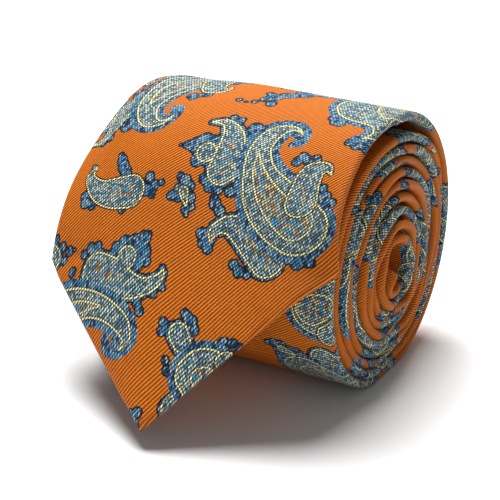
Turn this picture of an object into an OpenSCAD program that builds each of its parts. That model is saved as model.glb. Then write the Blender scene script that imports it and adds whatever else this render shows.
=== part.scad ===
// Silk necktie, rolled up from its narrow end, with the pointed wide end hanging free in front.
// +X: the side where all turns are flush. -Y: the side where the point hangs. +Z: up.

/* [Blade] */
// Width of the wide end at its two shoulders
wide_width = 80; // [76:0.5:84]
// Width of the folded silk at the neck
neck_width = 34; // [30:0.5:40]
// Width of the narrow end at its shoulders
narrow_width = 40; // [36:0.5:46]
// Thickness of the folded and interlined blade
blade_thickness = 2.4; // [2.2:0.05:2.5]
// Thickness of one ply of silk
silk = 0.35; // [0.3:0.05:0.4]

/* [Roll] */
// Radius of the outermost turn, to its outer face
roll_radius = 36; // [34.4:0.2:36.6]
// Radial step from one turn to the next
pitch = 2.95; // [2.9:0.05:3]
// Number of turns from the crest to the inner end
turns = 10.2; // [9.8:0.1:10.4]
// How far the flat underside is above the full circle
underside_flat = 1.1; // [1:0.1:1.5]
// How far the innermost turn stands out past the outermost on the flush side
core_standout = 4.5; // [2:0.5:6]
// How far the unsupported left edge of the outer turns caves in
cave_depth = 12; // [6:0.2:12.4]

/* [Free end] */
// Angle round the roll where the free end leaves it
leave_angle = 145; // [135:1:150]
// Length from there to the tip
free_length = 60; // [50:1:62]
// Sideways offset of the tip
tip_offset = 5.5; // [0:0.5:8]

/* [Hidden] */

silk_orange = [0.86, 0.40, 0.09];
lining_orange = [0.74, 0.30, 0.07];
wool_cream = [0.88, 0.84, 0.74];
thread_orange = [0.95, 0.55, 0.20];
tape_navy = [0.10, 0.16, 0.26];
tag_white = [0.93, 0.92, 0.88];

// Frame: the axis of the outermost turn, and the shift that puts the origin at the
// middle of the bounding box, on the surface the roll lies on.
half_width = wide_width / 2;
half_thickness = blade_thickness / 2;
crest = 0.25;
underside = 0.75;
core_drift = [-4, -2.5];
axis_z = roll_radius - underside_flat
    - (pitch + core_drift[1] / turns) * (underside - crest);
shift_x = -core_standout / 2;
tip_y = roll_mid(leave_angle)[0] - free_length * sin(leave_angle)
    + half_thickness * cos(leave_angle);
shift_y = -(tip_y + roll_radius - pitch / 4) / 2;

// Heights inside the fold, from the middle of the blade's thickness: the interlining keeps
// clear of both plies, and the free end's lining lies between it and the hem.
core_gap = 0.24;
core_low = -half_thickness + silk + core_gap;
core_high = half_thickness - silk - core_gap;
lining_high = -half_thickness + silk + 0.4;

// Places along the tie, in turns from the front of the roll.
neck_start = 3.35;
neck_end = 6.35;
roll_end = crest + turns;
seam_gap = 0.001;
rings_per_turn = 28;
hinge_clearance = 1.7;
roll_start = crest + hinge_clearance / (2 * PI * roll_radius);
first_turn_end = crest + 1;
cave_angle = 122;
cave_spread = 70;

// Middle of the blade's thickness on the outermost circle, at an angle in degrees.
function roll_mid(angle) =
    (roll_radius - half_thickness + pitch * max(0, angle - 90) / 360) * [cos(angle), sin(angle)];

// Angle round the roll, and radius of the blade's middle, after s turns.
function turn_angle(s) = 180 - 360 * s;
function turn_radius(s) = roll_radius - half_thickness - pitch * max(0, s - crest);
function turn_centre(s) = core_drift * max(0, s - crest) / turns;

// Point on the spiral, h outside the blade's middle. Each turn is flattened underneath, so
// that the roll lies steadily.
function flat_reach(s) = turn_radius(floor(s) + underside) + half_thickness - underside_flat;
function outer_radius(s, angle) =
    let (r = turn_radius(s) + half_thickness)
    sin(angle) < -0.5 ? min(r, flat_reach(s) / -sin(angle)) : r;
function spiral(s, h) =
    let (a = turn_angle(s), r = outer_radius(s, a) - half_thickness + h)
    turn_centre(s) + r * [cos(a), sin(a)];

// The left end of the outer turns has nothing inside it and caves in towards the axis.
function cave_share(x) = pow(min(1, max(0, -x / half_width)), 2);
function cave(a) =
    let (off = abs(angle_from(a, cave_angle)))
    off > cave_spread ? 0 : cave_depth * cos(90 * off / cave_spread);
function angle_from(a, b) = let (d = (a - b) % 360) d > 180 ? d - 360 : d < -180 ? d + 360 : d;
function caved(x, p) =
    let (a = atan2(p[1], p[0]), d = cave(a) * cave_share(x))
    p - d * [cos(a), sin(a)];

function place(x, p) = [x + shift_x, p[0] + shift_y, p[1] + axis_z];

// Width of the folded blade after s turns, and the place of its flush right edge.
function blend(a, b, t) = a + (b - a) * min(1, max(0, t));
function blade_width(s) = s < neck_start
    ? blend(wide_width - 1, neck_width + 6, pow((s - crest) / (neck_start - crest), 1.1))
    : s < neck_end
    ? blend(neck_width + 6, neck_width, (s - neck_start) / 1.5)
    : blend(neck_width, narrow_width, (s - neck_end) / (roll_end - neck_end));
function right_edge(s) = half_width + core_standout * pow((s - crest) / turns, 1.3);
function mid_x(s) = right_edge(s) - blade_width(s) / 2;

// A section is a closed loop of [across, height] pairs: an outer run, then the matching
// inner run backwards, so that the solid's two ends are strips of four-sided faces.
function split(a, b, n) = [for (i = [1 : n - 1]) a + (b - a) * i / n];
function row(a, b, h, n) = [for (x = split(a, b, n)) [x, h]];
function reversed(list) = [for (i = [len(list) - 1 : -1 : 0]) list[i]];
function back_and_round(a, c, g, h, n) = concat(
    [[g, -h]], row(g, a - c, -h, n), [[a - c, -h], [a, -h + c], [a, h - c], [a - c, h]],
    row(a - c, -a + c, h, 2 * n), [[-a + c, h], [-a, h - c], [-a, -h + c], [-a + c, -h]],
    row(-a + c, -g, -h, n), [[-g, -h]]);

// Folded silk: one ply in front, wrapped round both edges, and meeting at a slit along
// the middle of the back.
function fold_section(a, n) =
    let (c = min(0.5, a / 4), g = min(0.4, a / 6), t = min(silk, a / 6))
    concat(
        back_and_round(a, c, g, half_thickness, n),
        reversed(back_and_round(a - t, c / 2, g, half_thickness - t, n)));
function slab_section(a, low, high, n) = concat(
    [[-a, low]], row(-a, a, low, n), [[a, low]],
    [[a, high]], row(a, -a, high, n), [[-a, high]]);

// Solid through a list of rings, each a section placed somewhere along the tie. A filled
// strip inside a fold splits its faces the same way as the fold's inner side, so that the
// two follow each other where the blade caves in.
function end_strip(n, at, flip) = [for (i = [0 : n / 2 - 2])
    let (a = at + i, b = at + i + 1, c = at + n - 2 - i, d = at + n - 1 - i)
    each flip ? [[a, c, b], [a, d, c]] : [[a, b, c], [a, c, d]]];
module rings_solid(rings, inside = false) {
    n = len(rings[0]);
    last = len(rings) - 1;
    polyhedron(
        points = [for (ring = rings) each ring],
        faces = concat(
            end_strip(n, 0, false),
            [for (k = [0 : last - 1]) for (i = [0 : n - 1])
                let (j = (i + 1) % n, a = k * n + i, b = k * n + j, c = a + n, d = b + n)
                each inside ? [[a, c, d], [a, d, b]] : [[a, c, b], [b, c, d]]],
            end_strip(n, last * n, true)),
        convexity = 12);
}

function ring_at(k) = k / rings_per_turn;

// A stretch of the rolled tie from turn s0 to s1, taken from its inner end outwards, with
// rings at whole steps, so that one of them is always at the middle of the underside.
function stretch_places(s0, s1) =
    let (n = rings_per_turn)
    concat(
        [s1], [for (i = [ceil(s1 * n) - 1 : -1 : floor(s0 * n) + 1])
            if (i < s1 * n - 0.2 && i > s0 * n + 0.2) i / n], [s0]);
function ring_on_roll(s, section) = [for (q = section)
    let (x = mid_x(s) + q[0]) place(x, caved(x, spiral(s, q[1])))];
module folded_stretch(s0, s1, n) {
    rings_solid([for (s = stretch_places(s0, s1))
        ring_on_roll(s, fold_section(blade_width(s) / 2, n))]);
}
module inner_stretch(s0, s1, n, margin, low, high) {
    rings_solid([for (s = stretch_places(s0, s1))
        ring_on_roll(s, slab_section(blade_width(s) / 2 - margin, low, high, n))], true);
}

// The narrow end: the width runs down to a point over half its width.
narrow_point = 0.42;
function narrow_taper(s) = min(1, max(0.04, (roll_end - s) / narrow_point));

// The free end. Its middle follows the roll to leave_angle and then runs straight to the
// tip. Its left and right edges stay near the roll down to the shoulders, at these angles
// past the crest, and stand this far out from it there.
arc_length = (roll_radius - half_thickness) * (leave_angle - 90) * PI / 180;
middle_length = arc_length + free_length;
shoulder_at = (middle_length - half_width) / middle_length;
left_wrap = 99;
right_wrap = 75;
left_lift = 1.2;
right_lift = 1;

function middle_path(d) = d < arc_length
    ? roll_mid(90 + d / arc_length * (leave_angle - 90))
    : roll_mid(leave_angle) + (d - arc_length) * [-sin(leave_angle), cos(leave_angle)];
function polar(a, r) = r * [cos(a), sin(a)];
function free_radius(a) = roll_radius - half_thickness + pitch * a / 360;
function left_path(v) = polar(90 + left_wrap * v, free_radius(left_wrap * v) + left_lift * pow(v, 4));
function right_path(v) =
    polar(90 + right_wrap * v, free_radius(right_wrap * v) + right_lift * sin(165 * v));
tip_point = middle_path(middle_length);

// Three places across the blade, at share u of the way from the crest to the tip.
function free_row(u) =
    let (v = min(1, u / shoulder_at), k = max(0, (u - shoulder_at) / (1 - shoulder_at)))
    [
        blend(left_path(v), tip_point, k),
        middle_path(u * middle_length),
        blend(right_path(v), tip_point, k)
    ];
function free_half(u) = half_width * (u < shoulder_at
    ? 1 - 0.03 * (1 - u / shoulder_at)
    : max(0.006, 1 - (u - shoulder_at) / (1 - shoulder_at)));
function free_middle_x(u) = tip_offset * pow(max(0, (u - 0.35) / 0.65), 1.5);
function full_angle(p) = let (a = atan2(p[1], p[0])) a < 0 ? a + 360 : a;
function polar_blend(p, q, t) =
    polar(blend(full_angle(p), full_angle(q), t), blend(norm(p), norm(q), t));
function unit(v) = v / norm(v);
function free_normal(u) =
    let (d = unit(middle_path(min(1, u + 0.01) * middle_length)
        - middle_path(max(0, u - 0.01) * middle_length)))
    [d[1], -d[0]];
function free_point(u, x, h) =
    let (
        half = free_half(u), w = max(-1, min(1, x / half)), rows = free_row(u),
        side = w < 0 ? rows[0] : rows[2],
        p = caved(x, polar_blend(rows[1], side, w * w)))
    place(x + free_middle_x(u), p + h * free_normal(u));
function free_ring(u, section) = [for (q = section) free_point(u, q[0], q[1])];
free_places = concat([for (i = [0 : 9]) shoulder_at * i / 9],
    [for (i = [1 : 8]) shoulder_at + (1 - shoulder_at) * i / 8 * 0.985]);

// Section of the free end's silk: front ply, wrapped round the edges, with a turned-in
// hem on the back that is open over the lining.
hem = 9;
function hem_edge(a) = max(a * 0.5, a - hem);
function hem_run(a, c, h, m) = concat(
    [[m, -h], [a - c, -h], [a, -h + c], [a, h - c], [a - c, h]], row(a - c, -a + c, h, 8),
    [[-a + c, h], [-a, h - c], [-a, -h + c], [-a + c, -h], [-m, -h]]);
function hem_section(a) =
    let (c = min(0.5, a / 4), m = hem_edge(a), t = min(silk, a / 6))
    concat(hem_run(a, c, half_thickness, m),
        reversed(hem_run(a - t, c / 2, half_thickness - t, m)));

module wide_end_shell() {
    color(silk_orange)
    rings_solid([for (u = free_places) free_ring(u, hem_section(free_half(u)))]);
}

module free_slab(margin, low, high, last) {
    rings_solid([for (u = free_places) if (u < last)
        free_ring(u, slab_section(max(0.4, free_half(u) - margin), low, high, 8))], true);
}

// Wool interlining that fills the free end.
module wide_end_interlining() {
    color(wool_cream)
    free_slab(1.2, lining_high + core_gap + 0.06, core_high, 0.96);
}

// Lining on the back of the free end, with its edges under the silk hem.
module wide_end_tipping() {
    color(lining_orange)
    free_slab(2.2, lining_high - 0.2, lining_high, 0.93);
}

// Hand stitches beside the hem, on the lining.
module tipping_stitches() {
    color(thread_orange)
    for (i = [2 : 15]) {
        u = i / 17 * 0.9;
        for (side = [-1, 1]) {
            a = free_half(u);
            d = free_normal(u);
            translate(free_point(u, side * (hem_edge(a) - 1.3), -half_thickness + silk - 0.14))
            rotate([atan2(d[1], d[0]) - 90, 0, 0])
            cube([0.3, 1.6, 0.12], center = true);
        }
    }
}

// Small box at turn s, across from the blade's middle line and h out from the middle of
// its thickness.
module small_box(s, across, h, size) {
    translate(ring_on_roll(s, [[across, h]])[0])
    rotate([turn_angle(s) - 90, 0, 0])
    cube(size, center = true);
}

// First turn, from just behind the crest to the crest again.
module wide_blade_shell() {
    color(silk_orange)
    folded_stretch(roll_start, first_turn_end, 3);
}

module wide_blade_inner_shell() {
    color(silk_orange)
    folded_stretch(first_turn_end + seam_gap, neck_start, 3);
}

module neck_shell() {
    color(silk_orange)
    folded_stretch(neck_start + seam_gap, neck_end, 1);
}

module narrow_blade_shell() {
    color(silk_orange)
    rings_solid([for (s = stretch_places(neck_end + seam_gap, roll_end))
        ring_on_roll(s, fold_section(blade_width(s) / 2 * narrow_taper(s), 1))]);
}

// Ring at which the two lengths of interlining meet, and the turn just past it.
join_ring = 137;
join = (join_ring + 0.3) / rings_per_turn;
module front_interlining() {
    color(wool_cream)
    inner_stretch(roll_start, join, 6, 1.1, core_low, core_high);
}

module tail_interlining() {
    color(wool_cream)
    inner_stretch(join + 0.01, roll_end - 1.1, 1, 1.1, core_low, core_high);
}

// Lining inside the narrow end, past the end of its interlining.
module narrow_tipping() {
    color(lining_orange)
    inner_stretch(roll_end - 1.08, roll_end - narrow_point * 1.1, 2, 2, core_low, core_low + 0.4);
}

// Strip on the back of the first turn, between two whole rings of the blade.
module back_strip(ring0, ring1, half, low, high) {
    rings_solid([for (k = [ring1 : -1 : ring0])
        ring_on_roll(ring_at(k), slab_section(half, low, high, 4))]);
}

// Strip of silk across the back, which holds the narrow end when the tie is worn.
loop_ring = 14;
loop_length = 46;
module keeper_loop() {
    color(silk_orange)
    back_strip(loop_ring, loop_ring + 1, loop_length / 2, -half_thickness - 0.45, -half_thickness - 0.12);
}

module keeper_loop_tacks() {
    color(thread_orange)
    for (side = [-1, 1], k = [0, 1])
        small_box(ring_at(loop_ring + k), side * (loop_length / 2 + 1.2), -half_thickness - 0.28,
            [1.6, 1.4, 0.16]);
}

module blank_label() {
    color(tape_navy)
    back_strip(17, 20, 24, -half_thickness - 0.4, -half_thickness - 0.12);
}

module care_tag() {
    color(tag_white)
    back_strip(12, 13, 9, -half_thickness - 0.36, -half_thickness - 0.12);
}

module wide_bar_tack() {
    color(thread_orange)
    small_box(ring_at(11), 0, -half_thickness - 0.2, [5, 1.2, 0.16]);
}

module narrow_bar_tack() {
    color(thread_orange)
    small_box(ring_at(238), 0, -half_thickness - 0.24, [4, 0.8, 0.12]);
}

// Long hand stitches that close the slit along the back.
module slip_stitches() {
    color(thread_orange)
    for (k = [13 : 3 : 235])
        small_box(ring_at(k), 0, -half_thickness + silk / 2, [0.4, 2.2, 0.12]);
}

// Row of machine stitches across the blade inside a seam between two lengths of silk.
module seam_row(s) {
    count = floor(blade_width(s) / 4) - 1;
    for (i = [0 : count])
        small_box(s, (i - count / 2) * 3.4, core_high + core_gap / 2, [2.2, 0.5, 0.05]);
}

module front_neck_seam() {
    color(thread_orange)
    seam_row(ring_at(93));
}

module rear_neck_seam() {
    color(thread_orange)
    seam_row(ring_at(177));
}

module interlining_join() {
    color(tag_white)
    for (i = [-3 : 3])
        small_box(ring_at(join_ring), i * 4, core_low - core_gap / 2, [2.4, 0.5, 0.05]);
}

wide_end_shell();
wide_end_interlining();
wide_end_tipping();
tipping_stitches();
wide_blade_shell();
wide_blade_inner_shell();
neck_shell();
narrow_blade_shell();
front_interlining();
tail_interlining();
narrow_tipping();
keeper_loop();
keeper_loop_tacks();
blank_label();
care_tag();
wide_bar_tack();
narrow_bar_tack();
slip_stitches();
front_neck_seam();
rear_neck_seam();
interlining_join();
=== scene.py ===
import math
import bpy
import numpy as np
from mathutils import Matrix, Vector


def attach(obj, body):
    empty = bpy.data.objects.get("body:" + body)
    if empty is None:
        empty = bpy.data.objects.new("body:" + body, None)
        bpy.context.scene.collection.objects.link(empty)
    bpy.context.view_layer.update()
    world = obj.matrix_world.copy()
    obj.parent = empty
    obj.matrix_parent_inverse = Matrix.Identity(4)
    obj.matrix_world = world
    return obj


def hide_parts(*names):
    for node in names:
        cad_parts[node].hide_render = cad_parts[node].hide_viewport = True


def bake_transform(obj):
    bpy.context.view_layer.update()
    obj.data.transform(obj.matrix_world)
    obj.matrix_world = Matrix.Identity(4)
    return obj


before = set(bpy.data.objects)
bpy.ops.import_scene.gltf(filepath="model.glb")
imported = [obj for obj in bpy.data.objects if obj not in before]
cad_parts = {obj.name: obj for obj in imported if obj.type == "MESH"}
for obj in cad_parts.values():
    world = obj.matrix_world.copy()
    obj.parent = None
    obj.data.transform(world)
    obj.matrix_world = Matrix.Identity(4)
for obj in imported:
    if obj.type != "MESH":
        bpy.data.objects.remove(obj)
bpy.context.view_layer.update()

# Silk necktie, rolled up from its narrow end, with its pointed wide end hanging free in front.
# Lengths are millimetres until a mesh is made, and metres for light, camera and cut cloth.
# Angles are degrees.
# s counts turns round the roll from its front, so the crest is at 0.25 and s grows inwards.
# u runs down the free end from the crest, 0, to the tip, 1.

MM = 0.001

# Blade, as in the CAD model
WIDE_WIDTH = 80.0
NECK_WIDTH = 34.0
NARROW_WIDTH = 40.0
CREST_NARROWING = 1.0
NECK_FLARE = 6.0
HALF_WIDTH = WIDE_WIDTH / 2
HALF_THICK = 1.2

# Roll, as in the CAD model
ROLL_RADIUS = 36.0
PITCH = 2.95
TURNS = 10.2
UNDERSIDE_FLAT = 1.1
CORE_STANDOUT = 4.5
CORE_DRIFT = np.array([-4.0, -2.5])
CAVE_DEPTH = 12.0
CAVE_ANGLE = 122.0
CAVE_SPREAD = 70.0
FLARE = 2.5
FLARE_X = -29.5
FLARE_SPREAD = 5.5
SETTLE_DEPTH = 1.9
CREST = 0.25
UNDERSIDE = 0.75
WIDE_SPLIT = 1.25
NECK_START = 3.35
NECK_END = 6.35
ROLL_END = CREST + TURNS
NARROW_POINT = 0.42

# Free end, as in the CAD model
LEAVE_ANGLE = 145.0
FREE_LENGTH = 60.0
TIP_OFFSET = 5.5
LEFT_WRAP = 99.0
RIGHT_WRAP = 75.0
LEFT_LIFT = 1.2
RIGHT_LIFT = 1.0
HEM = 9.0


def lerp(a, b, t):
    return a + (b - a) * np.clip(t, 0, 1)


def smooth(t):
    t = np.clip(t, 0, 1)
    return t * t * (3 - 2 * t)


def polar(angle, radius):
    a = np.radians(angle)
    return np.stack([radius * np.cos(a), radius * np.sin(a)], -1)


def angle_of(p):
    return np.degrees(np.arctan2(p[..., 1], p[..., 0]))


def angle_from(a, b):
    return (a - b + 180) % 360 - 180


# ---------------------------------------------------------------- shape of the roll
def turn_angle(s):
    return 180 - 360 * s


def turn_radius(s):
    return ROLL_RADIUS - HALF_THICK - PITCH * np.maximum(0, s - CREST)


def outer_radius(s, angle):
    """Radius of a turn's outer face: a circle, with a flat underneath that has soft corners."""
    r = turn_radius(s) + HALF_THICK
    reach = turn_radius(np.floor(s) + UNDERSIDE) + HALF_THICK - UNDERSIDE_FLAT
    down = np.maximum(0.3, -np.sin(np.radians(angle)))
    flat = reach / down
    soft = 0.25
    both = np.exp((reach - r) / soft) + np.exp((reach - flat) / soft)
    return np.where(np.sin(np.radians(angle)) < -0.5, np.minimum(reach - soft * np.log(both), r), r)


def cave_share(x):
    return np.clip(-x / HALF_WIDTH, 0, 1) ** 2


def cave(angle):
    off = np.abs(angle_from(angle, CAVE_ANGLE))
    return np.where(off > CAVE_SPREAD, 0, CAVE_DEPTH * np.cos(np.radians(90 * off / CAVE_SPREAD)))


def near_top(angle, middle, narrowness):
    """1 at the angle in the middle, falling to 0 on both sides of it."""
    return np.cos(np.radians(np.clip(angle_from(angle, middle) * narrowness, -90, 90))) ** 2


def flare(x, angle):
    """Near the left end the outer turns bulge a little at the top, before they cave in."""
    return FLARE * near_top(angle, 100, 1.6) * np.exp(-(((x - FLARE_X) / FLARE_SPREAD) ** 2))


def caved(x, p):
    """The left end of the outer turns has nothing inside it and caves in."""
    angle = angle_of(p)
    return p + polar(angle, flare(x, angle) - cave(angle) * cave_share(x))


def blade_width(s):
    at_crest = WIDE_WIDTH - CREST_NARROWING
    at_neck = NECK_WIDTH + NECK_FLARE
    wide = lerp(at_crest, at_neck, np.maximum(0, (s - CREST) / (NECK_START - CREST)) ** 1.1)
    neck = lerp(at_neck, NECK_WIDTH, (s - NECK_START) / 1.5)
    narrow = lerp(NECK_WIDTH, NARROW_WIDTH, (s - NECK_END) / (ROLL_END - NECK_END))
    return np.where(s < NECK_START, wide, np.where(s < NECK_END, neck, narrow))


def right_edge(s):
    return HALF_WIDTH + CORE_STANDOUT * np.maximum(0, (s - CREST) / TURNS) ** 1.3


def waver(s, x):
    """Turns are never quite flush: each one's right edge wavers a little along its length."""
    inner = smooth((s - 0.9) / 0.6)
    return inner * smooth(x / 20) * (0.45 * np.sin(10.7 * s + 1) + 0.3 * np.sin(27 * s + 2))


def settle(s, angle, x):
    """At the top of the right end the turns inside the outermost one have sunk a little."""
    under = np.clip((s - 0.98) / 0.22, 0, 1) * np.clip((5.6 - s) / 4.2, 0, 1)
    return SETTLE_DEPTH * under * near_top(angle, 82, 1.5) * smooth((x - 8) / 25)


def eye_squeeze(s, angle):
    """The innermost turns are loose: they make a tall, narrow eye that leans to one side."""
    loose = smooth((s - 8.6) / 1.8)
    tall = 0.85 * (np.cos(np.radians(2 * (angle - 75))) - 1)
    return loose * (tall + 0.35 * (np.cos(np.radians(3 * angle + 40)) - 1))


def roll_mid(angle):
    return polar(angle, ROLL_RADIUS - HALF_THICK + PITCH * np.maximum(0, np.asarray(angle) - 90) / 360)


def frame_shift():
    """Where the roll's axis is: the CAD model's origin is at the middle of its box, on the ground."""
    leave = np.radians(LEAVE_ANGLE)
    tip_y = roll_mid(LEAVE_ANGLE)[0] - FREE_LENGTH * math.sin(leave) + HALF_THICK * math.cos(leave)
    y = -(tip_y + ROLL_RADIUS - PITCH / 4) / 2
    z = ROLL_RADIUS - UNDERSIDE_FLAT - (PITCH + CORE_DRIFT[1] / TURNS) * (UNDERSIDE - CREST)
    return -CORE_STANDOUT / 2, y, z


SHIFT_X, AXIS_Y, AXIS_Z = frame_shift()


def place(x, p):
    return np.stack([x + SHIFT_X, p[..., 0] + AXIS_Y, p[..., 1] + AXIS_Z], -1)


def roll_point(s, x, h):
    """Point on the rolled blade: x from its own middle, h out from the middle of its thickness."""
    across = right_edge(s) - blade_width(s) / 2 + x
    across = across + waver(s, across)
    angle = turn_angle(s)
    radius = outer_radius(s, angle) - HALF_THICK + h - settle(s, angle, across) + eye_squeeze(s, angle)
    centre = (np.maximum(0, s - CREST) / TURNS)[..., None] * CORE_DRIFT
    return place(across, caved(across, centre + polar(angle, radius)))


# ---------------------------------------------------------------- shape of the free end
ARC_LENGTH = (ROLL_RADIUS - HALF_THICK) * math.radians(LEAVE_ANGLE - 90)
MIDDLE_LENGTH = ARC_LENGTH + FREE_LENGTH
SHOULDER_AT = (MIDDLE_LENGTH - HALF_WIDTH) / MIDDLE_LENGTH


def middle_path(d):
    leave = math.radians(LEAVE_ANGLE)
    along = np.array([-math.sin(leave), math.cos(leave)])
    straight = roll_mid(LEAVE_ANGLE) + (d - ARC_LENGTH)[..., None] * along
    on_roll = roll_mid(90 + d / ARC_LENGTH * (LEAVE_ANGLE - 90))
    return np.where((d < ARC_LENGTH)[..., None], on_roll, straight)


TIP_POINT = middle_path(np.array([MIDDLE_LENGTH]))[0]


def free_radius(a):
    return ROLL_RADIUS - HALF_THICK + PITCH * a / 360


def left_path(v):
    return polar(90 + LEFT_WRAP * v, free_radius(LEFT_WRAP * v) + LEFT_LIFT * v**4)


def right_path(v):
    lift = RIGHT_LIFT * np.sin(np.radians(165 * v))
    return polar(90 + RIGHT_WRAP * v, free_radius(RIGHT_WRAP * v) + lift)


def full_angle(p):
    a = angle_of(p)
    return np.where(a < 0, a + 360, a)


def polar_blend(p, q, t):
    radius = lerp(np.linalg.norm(p, axis=-1), np.linalg.norm(q, axis=-1), t)
    return polar(lerp(full_angle(p), full_angle(q), t), radius)


def free_half(u):
    """Half the width of the free end; at the crest it matches the roll's."""
    narrowing = 1 - CREST_NARROWING / WIDE_WIDTH * (1 - u / SHOULDER_AT)
    point = np.maximum(0.004, 1 - (u - SHOULDER_AT) / (1 - SHOULDER_AT))
    return HALF_WIDTH * np.where(u < SHOULDER_AT, narrowing, point)


def free_middle_x(u):
    return TIP_OFFSET * np.maximum(0, (u - 0.35) / 0.65) ** 1.5 + 0.5 * (1 - smooth(u / 0.3))


def free_normal(u):
    after = middle_path(np.minimum(1, u + 0.01) * MIDDLE_LENGTH)
    before = middle_path(np.maximum(0, u - 0.01) * MIDDLE_LENGTH)
    d = after - before
    d = d / np.linalg.norm(d, axis=-1, keepdims=True)
    return np.stack([d[..., 1], -d[..., 0]], -1)


def corner_curl(u, x):
    """The right-hand corner curls back towards the roll."""
    down = np.exp(-(((u - SHOULDER_AT - 0.02) / 0.09) ** 2))
    return 3.2 * down * smooth((x - 29) / 11) ** 1.5


def edge_lift(u, x):
    """At the top the right edge stands a little off the turn under it."""
    return 0.8 * np.exp(-(((u - 0.16) / 0.16) ** 2)) * smooth((x - 18) / 20)


def free_point(u, x, h):
    half = free_half(u)
    w = np.clip(x / half, -1, 1)
    v = np.minimum(1, u / SHOULDER_AT)
    k = np.clip((u - SHOULDER_AT) / (1 - SHOULDER_AT), 0, 1)[..., None]
    left = left_path(v) * (1 - k) + TIP_POINT * k
    right = right_path(v) * (1 - k) + TIP_POINT * k
    side = np.where((w < 0)[..., None], left, right)
    p = caved(x, polar_blend(middle_path(u * MIDDLE_LENGTH), side, w * w))
    out = h + edge_lift(u, x) - corner_curl(u, x)
    return place(x + free_middle_x(u), p + out[..., None] * free_normal(u))


# ---------------------------------------------------------------- sections of folded silk
LIP = [-1.6, -0.8, -0.35]
LIP_REACH, LIP_RISE = 2.5, 0.26


def fold_columns(front, edge_steps, back_share):
    """Columns of a section as (part, share) pairs, from the seam on the back round the left
    edge, across the front, round the right edge and back to the seam."""
    back = [("back", t) for t in back_share]
    turn = [("edge", t) for t in np.linspace(0, 1, edge_steps + 1)[1:-1]]
    left = [(p, t, -1) for p, t in back] + [(p, 1 - t, -1) for p, t in turn]
    right = [(p, t, 1) for p, t in turn] + [(p, t, 1) for p, t in reversed(back)]
    return left + [("front", t, 0) for t in front] + right


def section(columns, half, inner):
    """Places x, h and the silk's own coordinate c for each ring, by column. half is the blade's
    half width, and inner is where the silk ends on the back."""
    t = np.minimum(HALF_THICK, half * 0.45)
    flat = half - t
    x, h, c = [], [], []
    for part, share, side in columns:
        if part == "front":
            x.append(share * flat)
            h.append(t)
            c.append(share * flat)
        elif part == "edge":
            a = share * math.pi
            x.append(side * (flat + t * math.sin(a)))
            h.append(t * math.cos(a))
            c.append(side * (flat + t * a))
        else:
            reach = np.minimum(inner, flat)
            back_x = reach + (flat - reach) * max(0.0, share)
            lip = 0.0 if share >= 0 else -share
            x.append(side * (back_x + np.minimum(LIP_REACH, 0.3 * half) * max(0.0, lip - 0.5)))
            h.append(-t + t * min(LIP_RISE, 0.7 * lip))
            c.append(side * (flat + math.pi * t + flat - back_x))
    return np.stack(x, 1), np.stack(h, 1), np.stack(c, 1)


def grid_object(name, points, flip=False, closed=False):
    """A mesh of quads through a grid of points, in metres."""
    rows, cols = points.shape[:2]
    mesh = bpy.data.meshes.new(name)
    obj = bpy.data.objects.new(name, mesh)
    bpy.context.scene.collection.objects.link(obj)
    index = np.arange(rows * cols).reshape(rows, cols)
    nxt = np.roll(index, -1, axis=1)
    a, b, c, d = index[:-1], nxt[:-1], nxt[1:], index[1:]
    if not closed:
        a, b, c, d = a[:, :-1], b[:, :-1], c[:, :-1], d[:, :-1]
    quads = np.stack([a, d, c, b] if flip else [a, b, c, d], -1).reshape(-1, 4)
    mesh.vertices.add(rows * cols)
    mesh.vertices.foreach_set("co", (points.reshape(-1, 3) * MM).astype(np.float32).ravel())
    mesh.loops.add(quads.size)
    mesh.loops.foreach_set("vertex_index", quads.astype(np.int32).ravel())
    mesh.polygons.add(len(quads))
    mesh.polygons.foreach_set("loop_start", np.arange(0, quads.size, 4, dtype=np.int32))
    mesh.polygons.foreach_set("loop_total", np.full(len(quads), 4, dtype=np.int32))
    mesh.polygons.foreach_set("use_smooth", np.ones(len(quads), dtype=bool))
    mesh.update()
    mesh.validate()
    return obj


def add_attribute(obj, name, values):
    layer = obj.data.attributes.new(name, "FLOAT", "POINT")
    layer.data.foreach_set("value", np.asarray(values, np.float32).ravel())


# ---------------------------------------------------------------- the print, in fabric millimetres
# x is across the silk from the blade's middle, y is along it, 0 at the crest and growing to the tip.
# A shape is a spine of (x, y, radius) points, swept by a disc.
PRINT_REPEAT = (98.0, 262.0)
RIB_PITCH = 1.12
RIB_TOP, RIB_TIP = (10.0, 1.5), (65.0, 0.85)
RIB_FROM, RIB_TO = -20.0, 120.0
STITCHES_PER_MM = 1.8
ROW_OFFSET = 0.41
FAR = 20.0
MOTIF_REACH = 42.0
MARGIN = 3.0
CORNER_FILL = 0.8

# The kinds of shape, and how far each spreads the blue round it. An inner one is inside a main one.
KINDS = ("outer", "main", "inner", "under", "over")
SPREAD = {"main": 0.0, "outer": 0.0, "under": 0.95, "over": 0.3, "inner": -FAR}

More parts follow.
